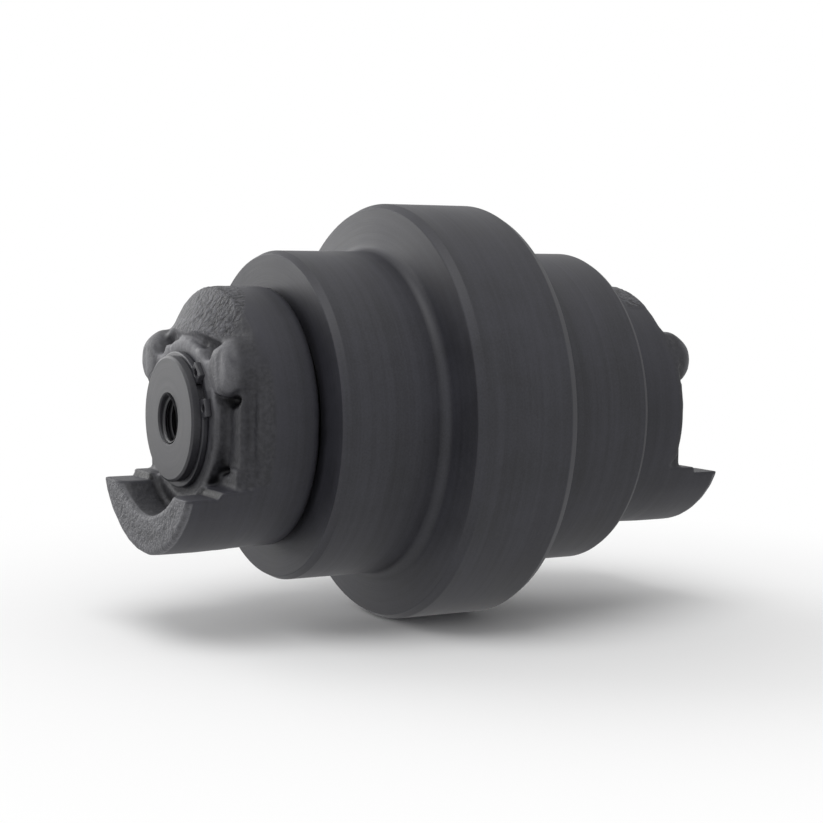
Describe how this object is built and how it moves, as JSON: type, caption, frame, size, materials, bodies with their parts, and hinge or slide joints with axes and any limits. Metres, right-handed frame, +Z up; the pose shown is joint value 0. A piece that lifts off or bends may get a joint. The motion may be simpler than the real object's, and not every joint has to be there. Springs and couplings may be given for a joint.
{
  "type": "track bottom roller",
  "caption": "Sealed undercarriage roller with a central flange, turning on a through shaft between cast end collars with channelled mounting ledges.",
  "frame": {"origin": "middle of the roller, on the shaft's axis", "axes": "+Y along the shaft towards the far end, +Z up, with the collars' ledges at the bottom"},
  "size_m": [0.125, 0.1798, 0.125],
  "materials": {
    "machined_steel": "near-black coated steel with fine turning marks",
    "cast_collar": "near-black coated casting, sand texture outside its turned bell",
    "ring_steel": "blackened spring steel",
    "bush_bronze": "turned bronze",
    "seal_iron": "lapped hard iron",
    "seal_rubber": "matt rubber"
  },
  "bodies": {
    "mounting": {"shaft": "machined_steel", "oil_plug": "ring_steel", "far_collar": "cast_collar", "near_collar": "cast_collar", "far_retaining_ring": "ring_steel", "near_retaining_ring": "ring_steel", "far_standing_seal_ring": "seal_iron", "near_standing_seal_ring": "seal_iron", "far_standing_seal_rubber": "seal_rubber", "near_standing_seal_rubber": "seal_rubber", "far_shaft_rubber_ring": "seal_rubber", "near_shaft_rubber_ring": "seal_rubber"},
    "roller": {"roller_shell": "machined_steel", "far_bush": "bush_bronze", "near_bush": "bush_bronze", "far_turning_seal_ring": "seal_iron", "near_turning_seal_ring": "seal_iron", "far_turning_seal_rubber": "seal_rubber", "near_turning_seal_rubber": "seal_rubber"}
  },
  "joints": [
    {"name": "roller_spin", "type": "hinge", "parent": "mounting", "child": "roller", "pos_m": [0, 0, 0], "axis": [0, 1, 0], "continuous": true}
  ]
}
